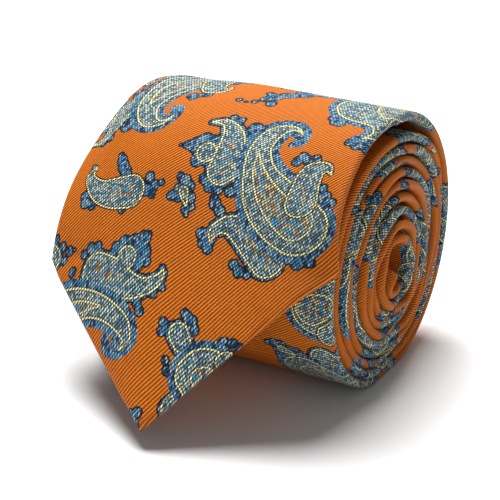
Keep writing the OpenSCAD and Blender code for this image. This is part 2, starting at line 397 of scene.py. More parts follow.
BIG_MAIN = [(30.8, 42.2, 8.7), (26.4, 38.7, 9.2), (21, 34.5, 8.2), (16.6, 29, 6.2), (13.8, 22.5, 4.9),
            (14.8, 16.6, 4.3), (18.4, 14, 2.9), (21.6, 15.2, 2.2), (22.8, 17.8, 1.7), (21, 19.4, 1.0)]
BIG_INNER = [(13.8, 23, 0.2), (15.8, 27.5, 1.5), (19.4, 32.4, 2.6), (24.5, 37.2, 3.6), (29.5, 40.8, 4.2)]
BIG_OVER = [[(29.4, 35, 4.1), (29.3, 31, 3.5), (29.6, 27.6, 3.1), (31.6, 25.8, 1.8), (33.4, 26, 1.0),
             (34.5, 27.6, 0.3)]]
BIG_UNDER = [
    [(6.6, 28.3, 4.2), (6.4, 24, 3.8), (5.4, 20.2, 3.1), (3.4, 17.2, 2.0), (0.8, 15.6, 1.1),
     (-2.6, 16.2, 0.3)],
    [(24.4, 50.6, 3.9), (21, 46.8, 3.9), (17.2, 43.4, 3.6), (13.4, 41.7, 2.6), (10.4, 42.2, 1.9),
     (8.7, 44, 1.2), (8.8, 46.2, 0.4)],
    [(0.3, 24.9, 2.7), (0.4, 25, 2.6)],
]
BIG_PETALS = [
    (24.6, 24.2, 1.4), (25.4, 22.6, 1.2), (27.2, 23.6, 1.3), (29.2, 23.2, 1.2), (33.9, 31.4, 1.1),
    (35, 33.8, 1.6), (37, 35.6, 1.3), (2.6, 31.4, 1.5), (4.6, 33.1, 1.5), (7.2, 33.6, 1.2),
    (2, 13.6, 1.1), (4.4, 13.9, 1.1), (9.2, 15.8, 1.9), (9.6, 19.5, 1.6), (-3.2, 23.4, 2.3),
    (-5.6, 23.8, 1.2), (-7.6, 24.1, 0.5), (-1.6, 21.6, 2.0), (0.8, 21.2, 1.4), (-1, 27.2, 2.0),
    (7.4, 37, 1.6), (6.6, 35.6, 1.0), (9.2, 38.6, 1.4), (5.8, 44.6, 1.5), (6.8, 46.8, 1.4),
    (8.4, 48.2, 1.3), (16, 51.2, 1.3), (17.8, 53, 1.5), (20, 53.8, 1.0), (31.6, 51.2, 1.4),
    (34.2, 50.8, 1.3), (10.4, 33.6, 1.4), (28.6, 49.6, 1.4),
]
BIRD_OVER = [[(-17.8, 37.3, 4.5), (-22.5, 38, 4.2), (-27, 37.8, 3.2), (-30.6, 36, 2.2),
              (-32.8, 33.4, 1.3), (-31.6, 30.8, 0.4)]]
BIRD_PETALS = [
    (-24.6, 27.6, 0.9), (-23.6, 29, 1.5), (-22.4, 30.8, 1.7), (-20.8, 32.4, 1.7), (-12.8, 33.2, 1.4),
    (-12.8, 36.6, 1.6), (-10.8, 35.2, 1.5), (-8.8, 34.2, 0.9), (-10.6, 37.6, 1.0), (-32.4, 39.2, 1.5),
    (-31.6, 41, 1.5), (-29, 41.4, 1.4), (-18.6, 42.4, 1.0), (-32.8, 30.8, 0.9),
]
SPRIG_OVER = [[(-2, 35.4, 1.35), (-1, 37.2, 0.9), (-0.2, 38.8, 0.3)]]
SPRIG_PETALS = [
    (-4, 32, 1.0), (-2.2, 32.8, 1.5), (-0.6, 34, 1.4), (-3.4, 35, 1.4), (-5, 37, 1.3), (-3, 37, 1.4),
    (0.4, 36.6, 1.4), (1.4, 38.8, 1.0), (-0.2, 39.6, 1.2), (0.4, 41, 0.7),
]
LEAF_PETALS = [
    (-1, 6.2, 0.9), (1.2, 6.7, 0.5), (3.2, 5.8, 0.9), (5, 3.6, 1.5), (6.4, 1.4, 2.2), (7.6, 5.4, 1.4),
    (8.8, -1.6, 2.5), (12, -3.4, 1.9), (4.2, -0.4, 1.2), (13.2, -6, 1.6), (10.6, -6, 2.2),
]
TWIST_MAIN = [(33.6, -14, 12.4), (32, -6.5, 11.6), (31.8, -0.8, 10.2), (35, 4.2, 6.8), (38.6, 8.4, 4.2),
              (40, 12.6, 3.4), (38.2, 15.4, 2.4), (35.8, 16, 1.4)]
TWIST_INNER = [(38, 4, 0.4), (37, -3, 4), (37.5, -11, 7)]
TWIST_PETALS = [(26, 7.6, 1.4), (27.6, 9.4, 1.6), (29.2, 10.4, 1.1), (35, 17.4, 1.3), (37.4, 18.6, 1.4),
                (40, 19, 1.4)]
CURL_MAIN = [(-44, 71, 8.5), (-38, 68.4, 8.2), (-31, 65.8, 7.0), (-24, 64.8, 5.4), (-17, 66.2, 4.6),
             (-11, 69.4, 4.2), (-8.6, 73, 3.2), (-10.6, 75.8, 2.0), (-14, 75.2, 1.6), (-15.4, 72.8, 1.0)]
CURL_INNER = [(-18.6, 65.4, 0.2), (-26, 65.4, 1.6), (-34, 67.4, 2.6)]
CURL_UNDER = [
    [(-22.6, 57, 4.3), (-18, 58.2, 4.4), (-13, 60, 3.8), (-8, 60.4, 2.6), (-4.2, 58.8, 1.8),
     (-2.4, 56.6, 1.0), (-2.4, 54.8, 0.3)],
    [(-13.6, 53.6, 2.9), (-13.5, 53.7, 2.8)],
    [(-40, 54, 3.6), (-43, 55, 3.4)],
]
CURL_PETALS = [
    (-28, 53.4, 1.1), (-26, 52, 1.4), (-23.6, 51.4, 1.2), (-17.6, 51.6, 1.6), (-15.2, 50.2, 1.9),
    (-12, 50, 2.4), (-9.6, 48.6, 2.0), (-8.4, 47.2, 0.8), (-8.6, 51.6, 2.0), (-7.4, 54, 1.3),
    (-9.8, 54.8, 1.8), (-1.2, 59.4, 0.9), (-3.4, 61.2, 1.2), (-7.4, 64.4, 1.3), (-6.2, 66, 1.3),
    (-30.6, 57.2, 1.2), (-36, 51.4, 1.2), (-33.4, 52.4, 1.2), (-31.6, 52.2, 0.5), (-34.6, 54.4, 1.0),
    (-38.6, 49.4, 0.9),
]
ROUND_MAIN = [(13.2, 78.6, 8.3), (15.5, 81.5, 8.6)]
ROUND_INNER = [(13.6, 80, 2.8), (16, 83, 4.0)]
ROUND_OVER = [[(18.4, 75.8, 2.4), (21, 77.4, 3)]]
ROUND_UNDER = [[(5.6, 69.2, 2.7), (7, 71.4, 2.4)], [(8, 87.6, 3.4), (9, 89, 3.4)]]
ROUND_PETALS = [
    (3.6, 76, 1.1), (4.6, 78.4, 1.3), (6.8, 79, 1.0), (6, 64, 1.0), (7, 64.9, 1.3), (8.6, 65.8, 1.3),
    (1, 67.2, 1.2), (1, 69.6, 1.2), (2.6, 68.4, 1.6), (9.4, 68, 1.4), (17.2, 70.6, 1.2),
    (19.4, 71.2, 1.2), (21.2, 72.4, 1.0),
]

# A motif is its main, inner, under and over spines, its petals as (x, y, radius), and its own centre.
MOTIFS = {
    "big": (BIG_MAIN, BIG_INNER, BIG_UNDER, BIG_OVER, BIG_PETALS, (13.8, 23)),
    "curl": (CURL_MAIN, CURL_INNER, CURL_UNDER, [], CURL_PETALS, (-18, 65)),
    "round": (ROUND_MAIN, ROUND_INNER, ROUND_UNDER, ROUND_OVER, ROUND_PETALS, (13, 78)),
    "twist": (TWIST_MAIN, TWIST_INNER, [], [], TWIST_PETALS, (36, 4)),
    "bird": ([], [], [], BIRD_OVER, BIRD_PETALS, (-22, 37)),
    "sprig": ([], [], [], SPRIG_OVER, SPRIG_PETALS, (-1.5, 36)),
    "leaf": ([], [], [], [], LEAF_PETALS, (7, 2)),
}

# Name, place of the motif's own centre, turn in degrees, and -1 where it is flipped. The first
# nine show on the free end, the next three under it on the front of the roll.
PLACES = [
    ("big", (13.8, 23), 0, 1),
    ("bird", (-22, 37), 0, 1),
    ("sprig", (-1.5, 36), 0, 1),
    ("leaf", (7, 2), 0, 1),
    ("twist", (36, 4), 0, 1),
    ("curl", (-18, 65), 0, 1),
    ("big", (-25.2, 10.3), -18, -1),
    ("round", (13, 78), 0, 1),
    ("sprig", (-4, 91.5), 160, 1),
    ("round", (35.5, 103.5), 100, 1),
    ("sprig", (21.5, 120.5), -40, 1),
    ("big", (43, 148), 180, 1),
    ("bird", (-14, 116), 20, 1),
    ("curl", (-30, 142), 90, -1),
    ("leaf", (6, 154), 40, 1),
    ("big", (-17, 178), 110, -1),
    ("sprig", (20, 184), 30, 1),
    ("curl", (40, 203), 190, 1),
    ("bird", (-37, 216), 200, 1),
    ("big", (15, 222), 40, 1),
]


def swept(spine, pieces):
    """Short straight pieces along a smooth curve through a spine's points."""
    p = np.array(spine, float)
    padded = np.vstack([2 * p[0] - p[1], p, 2 * p[-1] - p[-2]])
    out = [p[0]]
    for i in range(len(p) - 1):
        a, b, c, d = padded[i : i + 4]
        for k in range(1, pieces + 1):
            t = k / pieces
            out.append(0.5 * ((2 * b) + (c - a) * t + (2 * a - 5 * b + 4 * c - d) * t**2
                              + (3 * b - a - 3 * c + d) * t**3))
    return np.array(out)


def capsule_distance(x, y, chain):
    """Signed distance to straight pieces whose radius changes evenly along each."""
    best = np.full(x.shape, 5 * FAR)
    for a, b in zip(chain[:-1], chain[1:]):
        dx, dy = b[0] - a[0], b[1] - a[1]
        t = np.clip(((x - a[0]) * dx + (y - a[1]) * dy) / (dx * dx + dy * dy), 0, 1)
        d = np.hypot(x - a[0] - t * dx, y - a[1] - t * dy) - (a[2] + t * (b[2] - a[2]))
        best = np.minimum(best, d)
    return best


def moved(points, centre, to, turn, flip):
    """A motif's points, turned about its own centre and put in place."""
    p = np.array(points, float)
    x, y = p[:, 0] - centre[0], (p[:, 1] - centre[1]) * flip
    c, s = math.cos(math.radians(turn)), math.sin(math.radians(turn))
    return np.stack([to[0] + c * x - s * y, to[1] + s * x + c * y, p[:, 2]], 1)


def merged(a, b, reach):
    """The nearer of two distances, with the corner between their shapes filled."""
    share = np.maximum(0, reach - np.abs(a - b)) / reach
    return np.minimum(a, b) - reach * share**2 / 4


def shapes_of(motif):
    main, inner, unders, overs, petals, _ = motif
    shapes = [("under", spine) for spine in unders] + [("over", spine) for spine in overs]
    if main:
        shapes += [("main", main), ("inner", inner)]
    return shapes + [("outer", [(px, py, r), (px + 0.01, py, r)]) for px, py, r in petals]


def near_one_place(value, to, repeat):
    """The value moved by whole repeats until it is nearest to a place."""
    return to + (value - to + repeat / 2) % repeat - repeat / 2


def print_fields(x, y):
    """Signed distances, in millimetres, from the outlines of the print's kinds of shape."""
    x, y = x.ravel(), y.ravel()
    fields = {kind: np.full(x.shape, FAR) for kind in KINDS}
    for name, to, turn, flip in PLACES:
        centre = MOTIFS[name][-1]
        wx = near_one_place(x, to[0], PRINT_REPEAT[0])
        wy = near_one_place(y, to[1], PRINT_REPEAT[1])
        near = np.flatnonzero(np.hypot(wx - to[0], wy - to[1]) < MOTIF_REACH)
        px, py = wx[near], wy[near]
        for kind, spine in shapes_of(MOTIFS[name]):
            chain = moved(swept(spine, 1 if kind == "outer" else 4), centre, to, turn, flip)
            low = (chain[:, :2] - chain[:, 2:]).min(0) - MARGIN
            high = (chain[:, :2] + chain[:, 2:]).max(0) + MARGIN
            inside = (px > low[0]) & (px < high[0]) & (py > low[1]) & (py < high[1])
            where = near[inside]
            distance = capsule_distance(px[inside], py[inside], chain)
            fields[kind][where] = np.minimum(fields[kind][where], distance)
            ground = distance - SPREAD[kind]
            fields["outer"][where] = merged(fields["outer"][where], ground, CORNER_FILL)
    return fields


def running_total(rate, at):
    """The sum of a rate from the first place up to each place, by the middle of each step."""
    return np.concatenate([[0], np.cumsum((rate[1:] + rate[:-1]) / 2 * np.diff(at))])


def rib_phase(x, y):
    """Counts the twill's ribs: they rise to the right, and more steeply towards the tip."""
    fine = np.linspace(RIB_FROM, RIB_TO, 1401)
    rate = np.interp(fine, *zip(RIB_TOP, RIB_TIP))
    beyond = np.minimum(0, y - RIB_FROM) * RIB_TOP[1]
    return (x + np.interp(y, fine, running_total(rate, fine)) + beyond) / RIB_PITCH


def add_print(obj, x, y):
    for kind, values in print_fields(x, y).items():
        add_attribute(obj, "print_" + kind, values)
    add_attribute(obj, "rib", rib_phase(x, y))
    add_attribute(obj, "across", x)
    add_attribute(obj, "along", y)


# ---------------------------------------------------------------- materials
COLOUR_A, COLOUR_B = 6, 7  # a mix node's sockets for colours


class Nodes:
    """A short way to write a node tree."""

    def __init__(self, name, **shader):
        self.material = bpy.data.materials.new(name)
        self.material.use_nodes = True
        self.tree = self.material.node_tree
        self.shader = self.tree.nodes["Principled BSDF"]
        for key, value in shader.items():
            self.shader.inputs[key.replace("_", " ")].default_value = value

    def node(self, kind, inputs=(), **settings):
        n = self.tree.nodes.new(kind)
        for key, value in settings.items():
            setattr(n, key, value)
        for key, value in dict(inputs).items():
            if isinstance(value, bpy.types.NodeSocket):
                self.tree.links.new(value, n.inputs[key])
            else:
                n.inputs[key].default_value = value
        return n

    def attribute(self, name):
        return self.node("ShaderNodeAttribute", attribute_name=name).outputs["Fac"]

    def math(self, operation, a, b=0.0, c=0.0):
        return self.node("ShaderNodeMath", {0: a, 1: b, 2: c}, operation=operation).outputs[0]

    def scaled(self, value, factor, offset):
        return self.math("MULTIPLY_ADD", value, factor, offset)

    def below(self, value, edge, soft=0.08):
        """1 where value is below edge, 0 above, with a soft step."""
        ends = {"From Min": edge - soft, "From Max": edge + soft, "To Min": 1.0, "To Max": 0.0}
        return self.node("ShaderNodeMapRange", {"Value": value, **ends}).outputs["Result"]

    def mix(self, factor, a, b, blend="MIX"):
        colours = {"Factor": factor, COLOUR_A: a, COLOUR_B: b}
        return self.node("ShaderNodeMix", colours, data_type="RGBA", blend_type=blend).outputs[2]

    def multiply(self, factor, a, b):
        return self.mix(factor, a, b, "MULTIPLY")

    def vector(self, x, y):
        return self.node("ShaderNodeCombineXYZ", {0: x, 1: y}).outputs[0]

    def noise(self, where, scale, detail=2.0):
        n = self.node("ShaderNodeTexNoise", {"Vector": where, "Scale": scale, "Detail": detail})
        return n.outputs["Fac"]

    def wave(self, where, scale, distortion, direction="DIAGONAL"):
        n = self.node("ShaderNodeTexWave", {"Vector": where, "Scale": scale, "Distortion": distortion},
                      bands_direction=direction)
        return n.outputs["Fac"]

    def ramp(self, value, stops):
        """One colour for each step of a value, with no blend between them."""
        n = self.node("ShaderNodeValToRGB", {"Fac": value})
        ramp = n.color_ramp
        ramp.interpolation = "CONSTANT"
        while len(ramp.elements) < len(stops):
            ramp.elements.new(1.0)
        for element, (position, colour) in zip(ramp.elements, stops):
            element.position = position
            element.color = (*colour, 1)
        return n.outputs["Color"]

    def bump(self, height, distance, strength):
        n = self.node("ShaderNodeBump", {"Height": height, "Distance": distance, "Strength": strength})
        self.tree.links.new(n.outputs["Normal"], self.shader.inputs["Normal"])

    def colour(self, value):
        self.tree.links.new(value, self.shader.inputs["Base Color"])


ORANGE = (0.86, 0.235, 0.012, 1)
# The colour of the painted shade between the silk's ribs.
ORANGE_RIB_SHADE = (0.19, 0.034, 0.002, 1)
NAVY = (0.007, 0.013, 0.024, 1)
CREAM = (0.86, 0.79, 0.40, 1)
FILL_STOPS = [(0.0, (0.27, 0.36, 0.36)), (0.22, (0.06, 0.14, 0.20)), (0.40, (0.40, 0.50, 0.45)),
              (0.58, (0.09, 0.14, 0.18)), (0.72, (0.56, 0.58, 0.42)), (0.82, (0.05, 0.26, 0.44)),
              (0.92, (0.31, 0.32, 0.45))]
HEART_STOPS = [(0.0, (0.50, 0.44, 0.25)), (0.2, (0.08, 0.12, 0.16)), (0.36, (0.52, 0.50, 0.32)),
               (0.52, (0.32, 0.14, 0.06)), (0.66, (0.20, 0.28, 0.31)), (0.84, (0.04, 0.31, 0.56))]
# Painted shade and painted light of the lining's orange, for the grooves and tops of its ribs.
LINING_SHADE_AND_LIGHT = ((0.36, 0.075, 0.010, 1), (0.62, 0.15, 0.02, 1))
WOOL_TONES = ((0.55, 0.50, 0.40, 1), (0.85, 0.81, 0.70, 1))
# Painted shade and painted light of the thread's orange, for the grooves and tops of its twist.
THREAD_SHADE_AND_LIGHT = ((0.45, 0.12, 0.02, 1), (0.86, 0.33, 0.06, 1))
# Painted shade and painted light of each tape's colour, for the dips and tops of its weave.
LABEL_SHADE_AND_LIGHT = ((0.015, 0.03, 0.06, 1), (0.05, 0.09, 0.16, 1))
TAG_SHADE_AND_LIGHT = ((0.60, 0.59, 0.55, 1), (0.88, 0.87, 0.83, 1))
PAPER_TONES = ((0.86, 0.86, 0.86, 1), (0.88, 0.88, 0.88, 1))
BAND_STOPS = [(0.0, (0.04, 0.15, 0.30)), (0.30, (0.09, 0.25, 0.39)), (0.54, (0.014, 0.035, 0.08)),
              (0.74, (0.25, 0.36, 0.43))]


def twill(n, flat):
    """The weave: the height of its ribs, where a stitch floats on them, and each stitch's chance."""
    counted = n.math("ADD", n.attribute("rib"), n.scaled(n.noise(flat, 0.9), 0.2, -0.1))
    wave = n.scaled(n.math("COSINE", n.math("MULTIPLY", counted, 2 * math.pi)), 0.5, 0.5)
    ridge = n.math("POWER", wave, 0.75)
    row = n.math("ROUND", counted)
    place_on_row = n.scaled(n.attribute("across"), STITCHES_PER_MM, n.math("MULTIPLY", row, ROW_OFFSET))
    stitch = n.math("FLOOR", place_on_row)
    within_stitch = n.math("ABSOLUTE", n.math("SUBTRACT", n.math("FRACT", place_on_row), 0.5))
    float_mask = n.below(within_stitch, 0.35, 0.12)
    chance = n.node("ShaderNodeTexWhiteNoise", {"Vector": n.vector(stitch, row)}, noise_dimensions="2D")
    return ridge, float_mask, n.node("ShaderNodeSeparateColor", {"Color": chance.outputs["Color"]}).outputs


def ground_with_rib_shade(n, flat, ridge, chance):
    """Orange silk, with painted shade between its ribs. Its tone changes slowly, and a little at each
    stitch.
    """
    slow = n.math("MULTIPLY", n.noise(flat, 0.12, 3.0), 0.3)
    quick = n.math("MULTIPLY", chance[2], 0.22)
    # Painted shade: the ground is darker between the twill's ribs.
    ground = n.multiply(slow, n.mix(ridge, ORANGE_RIB_SHADE, ORANGE), (0.8, 0.62, 0.45, 1))
    return n.multiply(quick, ground, (0.62, 0.5, 0.4, 1))


def paisley(n, flat, ground, chance):
    """The print's layers over the ground, and a mask of what they cover."""
    outer, main, inner, under, over = [n.attribute("print_" + kind) for kind in KINDS]
    patch = n.noise(flat, 0.45, 1.0)
    mixed = n.scaled(chance[0], 0.62, n.scaled(patch, 0.9, -0.28))
    band = n.ramp(chance[1], BAND_STOPS)
    fill = n.ramp(mixed, FILL_STOPS)
    heart = n.ramp(chance[1], HEART_STOPS)

    edge = n.math("ADD", outer, n.scaled(n.noise(flat, 1.6, 1.0), 0.5, -0.25))
    bead = n.scaled(n.noise(flat, 1.1, 0.0), 0.3, -0.15)
    within = n.below(main, -2.3)

    # From the bottom up: where a layer may show, a distance, the limit below which it does, its colour.
    always = 1.0
    layers = [
        (always, edge, 0.0, NAVY), (always, edge, -0.42, band),
        (always, under, 0.16, NAVY), (always, under, 0.0, CREAM), (always, under, -0.45, NAVY),
        (always, under, -0.62, fill), (always, n.math("ADD", under, bead), -2.7, heart),
        (always, main, 0.0, band), (always, main, -1.7, NAVY), (always, main, -1.88, CREAM),
        (always, main, -2.38, NAVY), (always, main, -2.55, fill),
        (within, inner, 0.3, NAVY), (within, inner, 0.14, CREAM), (within, inner, -0.28, heart),
        (always, over, 0.3, NAVY), (always, over, 0.0, CREAM), (always, over, -0.42, NAVY),
        (always, over, -0.6, fill), (always, n.math("ADD", over, bead), -3.0, heart),
    ]
    colour = ground
    for allowed, distance, limit, tone in layers:
        colour = n.mix(n.math("MULTIPLY", n.below(distance, limit), allowed), colour, tone)
    return colour, n.below(edge, 0.0)


def printed_silk():
    """Twill silk with the paisley print. The print's shapes are attributes of the mesh."""
    n = Nodes("printed_silk", Roughness=0.6, Specular_IOR_Level=0.16)
    flat = n.vector(n.attribute("across"), n.attribute("along"))
    ridge, float_mask, chance = twill(n, flat)
    colour, printed = paisley(n, flat, ground_with_rib_shade(n, flat, ridge, chance), chance)
    lit = n.scaled(n.math("MULTIPLY", ridge, float_mask), 1.85, 0.03)
    shade = n.node("ShaderNodeCombineColor", {0: lit, 1: lit, 2: lit}).outputs[0]
    n.colour(n.multiply(printed, colour, shade))
    n.bump(n.scaled(float_mask, 0.2, ridge), 0.00022, 0.8)
    return n.material


def object_space(n):
    return n.node("ShaderNodeTexCoord").outputs["Object"]


def lining_silk():
    """Plain twill lining in the tie's own orange, with a fine close rib, painted shade between the ribs and
    painted light on them.
    """
    n = Nodes("lining_silk", Roughness=0.42, Sheen_Weight=0.08)
    where = object_space(n)
    rib = n.wave(where, 420.0, 0.6)
    patch = n.noise(where, 60.0, 3.0)
    # Painted shade between the ribs and painted light on them.
    base = n.mix(rib, *LINING_SHADE_AND_LIGHT)
    n.colour(n.multiply(n.math("MULTIPLY", patch, 0.4), base, (0.7, 0.55, 0.45, 1)))
    n.bump(rib, 0.0001, 0.6)
    return n.material


def wool_felt():
    """Brushed wool interlining."""
    n = Nodes("wool_felt", Roughness=0.95, Sheen_Weight=0.3)
    where = object_space(n)
    fibres = n.noise(where, 900.0, 6.0)
    n.colour(n.mix(fibres, *WOOL_TONES))
    n.bump(fibres, 0.0004, 0.7)
    return n.material


def twisted_thread():
    """Silk sewing thread with its twist, with painted shade in the twist's grooves and painted light on its
    tops.
    """
    n = Nodes("twisted_thread", Roughness=0.45, Sheen_Weight=0.1)
    twist = n.wave(object_space(n), 1400.0, 1.0)
    # Painted shade in the twist's grooves and painted light on its tops.
    n.colour(n.mix(twist, *THREAD_SHADE_AND_LIGHT))
    n.bump(twist, 0.00008, 0.8)
    return n.material


def woven_tape(name, shade_and_light, scale):
    """Woven tape of a label: a plain weave, with painted shade between its threads and painted light on
    them.
    """
    n = Nodes(name, Roughness=0.55, Sheen_Weight=0.08)
    where = object_space(n)
    weave = n.math("MULTIPLY", n.wave(where, scale, 0.3, "X"), n.wave(where, scale, 0.3, "Z"))
    # Painted shade between the threads and painted light on them.
    n.colour(n.mix(weave, *shade_and_light))
    n.bump(weave, 0.00012, 0.7)
    return n.material


def matte_floor():
    n = Nodes("floor_paper", Roughness=0.9, Specular_IOR_Level=0.1)
    n.colour(n.mix(n.noise(object_space(n), 3.0), *PAPER_TONES))
    return n.material


SILK = printed_silk()
LINING = lining_silk()
WOOL = wool_felt()
THREAD = twisted_thread()
LABEL = woven_tape("label_tape", LABEL_SHADE_AND_LIGHT, 500.0)
TAG = woven_tape("tag_tape", TAG_SHADE_AND_LIGHT, 600.0)


def dress(obj, material):
    obj.data.materials.clear()
    obj.data.materials.append(material)
    return obj


# ---------------------------------------------------------------- pieces of silk
FINE_TURNS = np.linspace(CREST, ROLL_END, 4001)


def along_roll(s):
    """Silk length from the crest back to s, as a negative fabric y."""
    return -np.interp(s, FINE_TURNS, running_total(2 * math.pi * turn_radius(FINE_TURNS), FINE_TURNS))


def turns_at_length(length):
    return np.interp(length, -along_roll(FINE_TURNS), FINE_TURNS)


def spaced_turns(s0, s1, step):
    """Places round the roll from turn s0 to s1 with about one step of silk between them."""
    lengths = -along_roll(np.array([s0, s1]))
    count = max(4, round((lengths[1] - lengths[0]) / step))
    return turns_at_length(np.linspace(lengths[0], lengths[1], count))


SEAM_INNER = 0.4
EDGE_STEPS = 8
END_STEP, FIRST_STEP, INNER_STEP = 0.42, 0.62, 0.8
HINGE_REACH = 9.0
BEHIND_CREST = HINGE_REACH + 2
FIRST_START = float(turns_at_length(BEHIND_CREST))


def free_inner(u):
    """Where the silk ends on the back: at the seam near the crest, opening to a hem below."""
    half = free_half(u)
    hem = np.maximum(half * 0.5, half - HEM)
    return lerp(SEAM_INNER, hem, smooth((u - 0.1) / (SHOULDER_AT - 0.1)))


def wide_end_silk():
    """The free end, with a short stretch behind the crest."""
    behind = turns_at_length(np.linspace(BEHIND_CREST, 0, 26))[:-1]
    down = np.concatenate([np.linspace(0, SHOULDER_AT, round(SHOULDER_AT * MIDDLE_LENGTH / END_STEP)),
                           np.linspace(SHOULDER_AT, 1, round(HALF_WIDTH / END_STEP))[1:]])
    columns = fold_columns(np.linspace(-1, 1, 190), EDGE_STEPS, LIP + list(np.linspace(0, 1, 14)))
    s = np.repeat(behind[:, None], len(columns), 1)
    x0, h0, c0 = section(columns, blade_width(behind) / 2, SEAM_INNER)
    x1, h1, c1 = section(columns, free_half(down), free_inner(down))
    u = np.repeat(down[:, None], len(columns), 1)
    points = np.concatenate([roll_point(s, x0, h0), free_point(u, x1, h1)])
    obj = grid_object("wide_end_silk", points)
    y = np.concatenate([along_roll(s), u * MIDDLE_LENGTH])
    add_print(obj, np.concatenate([c0, c1]), y)
    return obj


def rolled_silk(name, s0, s1, step, front, back, taper=False):
    """A stretch of the rolled blade, from turn s0 to s1."""
    s = spaced_turns(s0, s1, step)
    columns = fold_columns(front, EDGE_STEPS, LIP + list(back))
    half = blade_width(s) / 2
    if taper:
        half = half * np.clip((ROLL_END - s) / NARROW_POINT, 0.03, 1)
    x, h, c = section(columns, half, SEAM_INNER)
    ss = np.repeat(s[:, None], len(columns), 1)
    obj = grid_object(name, roll_point(ss, x, h), flip=True)
    add_print(obj, c, along_roll(ss))
    return obj


def dressed_silk(name, s0, s1, step, front, back, taper=False):
    return dress(rolled_silk(name, s0, s1, step, front, back, taper), SILK)


# Places across the front and the back: even ones for the outer turn, and for the turns inside it
# more of them near the right edge, the part that shows.
EVEN_FRONT, EVEN_BACK = np.linspace(-1, 1, 130), np.linspace(0, 1, 10)
EDGE_FRONT = np.concatenate([np.linspace(-1, 0.7, 10), np.linspace(0.72, 1, 12)])
EDGE_BACK = np.concatenate([np.linspace(0, 0.9, 5), [0.95, 1.0]])

wide_end = dress(wide_end_silk(), SILK)
first_turn = dressed_silk("wide_blade_silk", FIRST_START, WIDE_SPLIT, FIRST_STEP, EVEN_FRONT, EVEN_BACK)
inner_wide = dressed_silk("wide_blade_inner_silk", WIDE_SPLIT, NECK_START, INNER_STEP, EDGE_FRONT, EDGE_BACK)
neck = dressed_silk("neck_silk", NECK_START, NECK_END, INNER_STEP, EDGE_FRONT, EDGE_BACK)
narrow = dressed_silk("narrow_blade_silk", NECK_END, ROLL_END, INNER_STEP, EDGE_FRONT, EDGE_BACK, taper=True)


def across_hinge(obj):
    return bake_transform(obj)


# ---------------------------------------------------------------- what the silk holds and carries
WOOL_MARGIN = 1.7
WOOL_LOW, WOOL_HIGH = -0.62, 0.72
WOOL_JOIN = 4.9
WOOL_JOIN_GAP = 0.02
WOOL_END = ROLL_END - 1.1
LINING_HEIGHT = -0.78
TAIL_LINING = (ROLL_END - 1.08, ROLL_END - 0.46)
HEM_STITCHES = np.arange(0.3, 0.93, 0.022)
STITCH_LENGTH, STITCH_THICK, STITCH_SLANT = 1.5, 0.3, 25
HEM_LEAN, POINT_LEAN = -12, -40

# Strips on the back: the CAD model's rings between which each lies, half its width, its thickness
RINGS_PER_TURN = 28
BACK_HEIGHT = -1.32
LOOP_RINGS, LOOP_HALF, LOOP_THICK = (14, 15), 23.0, 0.33
LABEL_RINGS, LABEL_HALF, LABEL_THICK = (17, 20), 24.0, 0.28
TAG_RINGS, TAG_HALF, TAG_THICK = (12, 13), 9.0, 0.24
LOOP_PATCH = (6, 60)
NONE = np.zeros(0)


def slab_section(half, low, high, steps):
    """A closed loop with round ends, as places across and heights."""
    turn = np.linspace(0, math.pi, 6)[1:-1]
    middle, thick = (low + high) / 2, (high - low) / 2
    flat = half - thick
    runs = [(flat * t, high) for t in np.linspace(-1, 1, steps)]
    runs += [(flat + thick * math.sin(a), middle + thick * math.cos(a)) for a in turn]
    runs += [(flat * t, low) for t in np.linspace(1, -1, steps)]
    runs += [(-flat - thick * math.sin(a), middle - thick * math.cos(a)) for a in turn]
    x = np.stack([across for across, _ in runs], 1)
    return x, np.broadcast_to([height for _, height in runs], x.shape)


def slab(name, u, s, half_u, half_s, low, high, steps=26):
    """A closed strip inside or on the blade, down the free end by u and round the roll by s."""
    rings = []
    for places, half, point in ((u[::-1], half_u[::-1], free_point), (s, half_s, roll_point)):
        if len(places):
            x, h = slab_section(half, low, high, steps)
            rings.append(point(np.repeat(places[:, None], x.shape[1], 1), x, h))
    points = np.concatenate(rings)
    ends = [(ring + np.roll(ring[::-1], steps + 4, axis=0)) / 2 for ring in (points[0], points[-1])]
    points = np.concatenate([ends[0][None], points, ends[1][None]])
    return grid_object(name, points, flip=True, closed=True)


def wool(name, u, s, steps=26):
    """Interlining, all down the free end by u and round the roll by s."""
    half_u = np.maximum(1.0, free_half(u) - WOOL_MARGIN)
    half_s = blade_width(s) / 2 - WOOL_MARGIN
    return dress(slab(name, u, s, half_u, half_s, WOOL_LOW, WOOL_HIGH, steps), WOOL)


def lining(name, places, half, point, flip):
    """A single ply of lining silk under the hems."""
    across = half[:, None] * np.linspace(-1, 1, 61)
    along = np.broadcast_to(places[:, None], across.shape)
    obj = grid_object(name, point(along, across, np.full(across.shape, LINING_HEIGHT)), flip=flip)
    return dress(obj, LINING)


